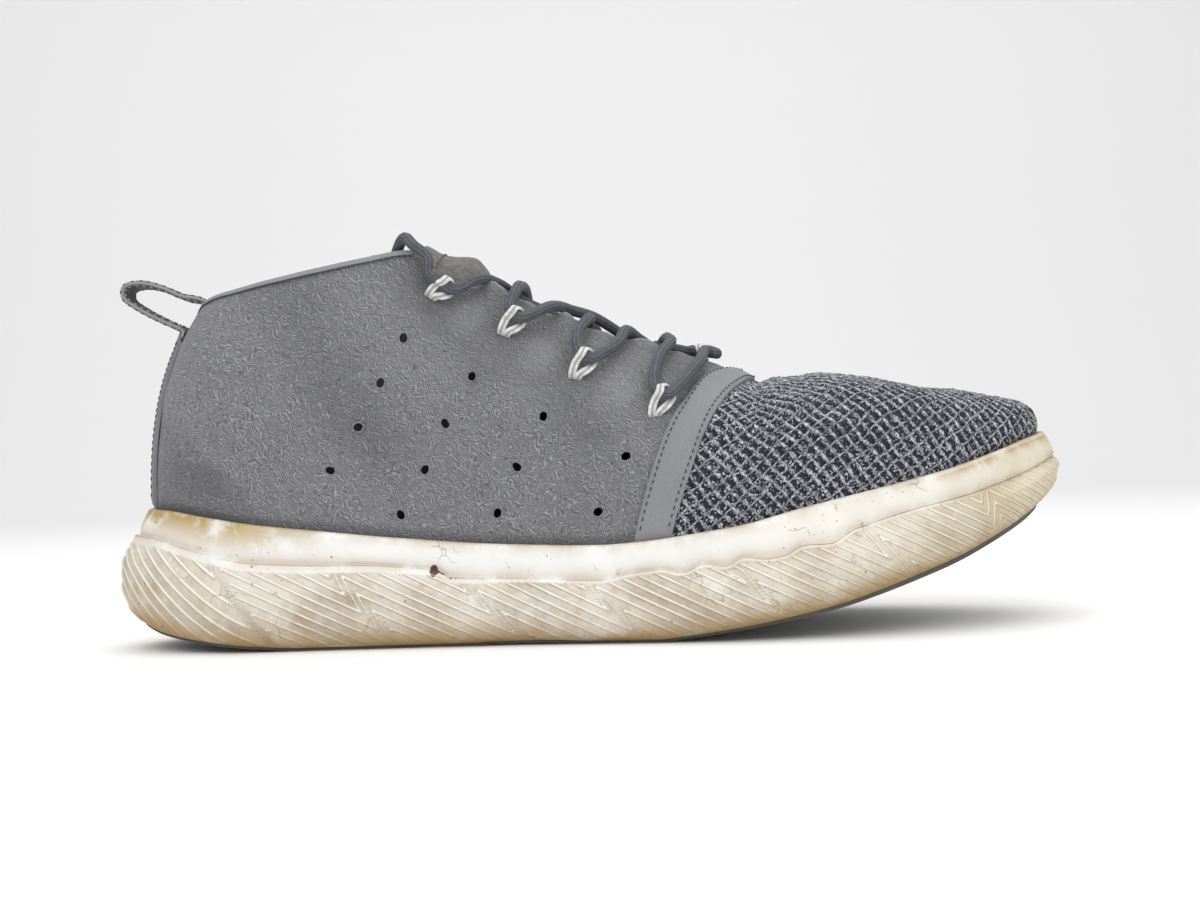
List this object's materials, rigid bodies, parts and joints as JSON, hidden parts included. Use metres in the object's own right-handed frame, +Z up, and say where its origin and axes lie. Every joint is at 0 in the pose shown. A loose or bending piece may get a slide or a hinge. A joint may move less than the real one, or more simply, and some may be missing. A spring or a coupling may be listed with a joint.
{
  "type": "sneaker",
  "caption": "Worn mid-height lace-up sneaker for the right foot: suede quarters, knitted toe and a thick foam sole, open at the collar and standing empty.",
  "frame": {"origin": "on the floor plane, on the tread's face under the middle of the heel's flat spot", "axes": "+X from heel to toe, +Y towards the medial side of this right shoe, +Z up out of the sole"},
  "size_m": [0.2998, 0.1097, 0.1259],
  "materials": {
    "midsole": "matte, scuffed and yellowed foam",
    "outsole": "matte tread rubber",
    "suede": "worn napped suede, with a knitted toe",
    "band": "smooth matt leather",
    "tongue": "napped, padded",
    "insole": "flat woven cover",
    "lace": "braided round cord",
    "loop": "pale cord",
    "tab": "stitched strap"
  },
  "bodies": {
    "root": {"outsole": "outsole", "midsole": "midsole", "insole": "insole", "upper": "suede", "vamp_band": "band", "heel_stay": "band", "tongue": "tongue", "pull_tab": "tab", "lace_crossings": "lace", "lace_end_lateral": "lace", "lace_end_medial": "lace", "loop_lateral_1": "loop", "loop_lateral_2": "loop", "loop_lateral_3": "loop", "loop_lateral_4": "loop", "loop_medial_1": "loop", "loop_medial_2": "loop", "loop_medial_3": "loop", "loop_medial_4": "loop"}
  },
  "joints": []
}
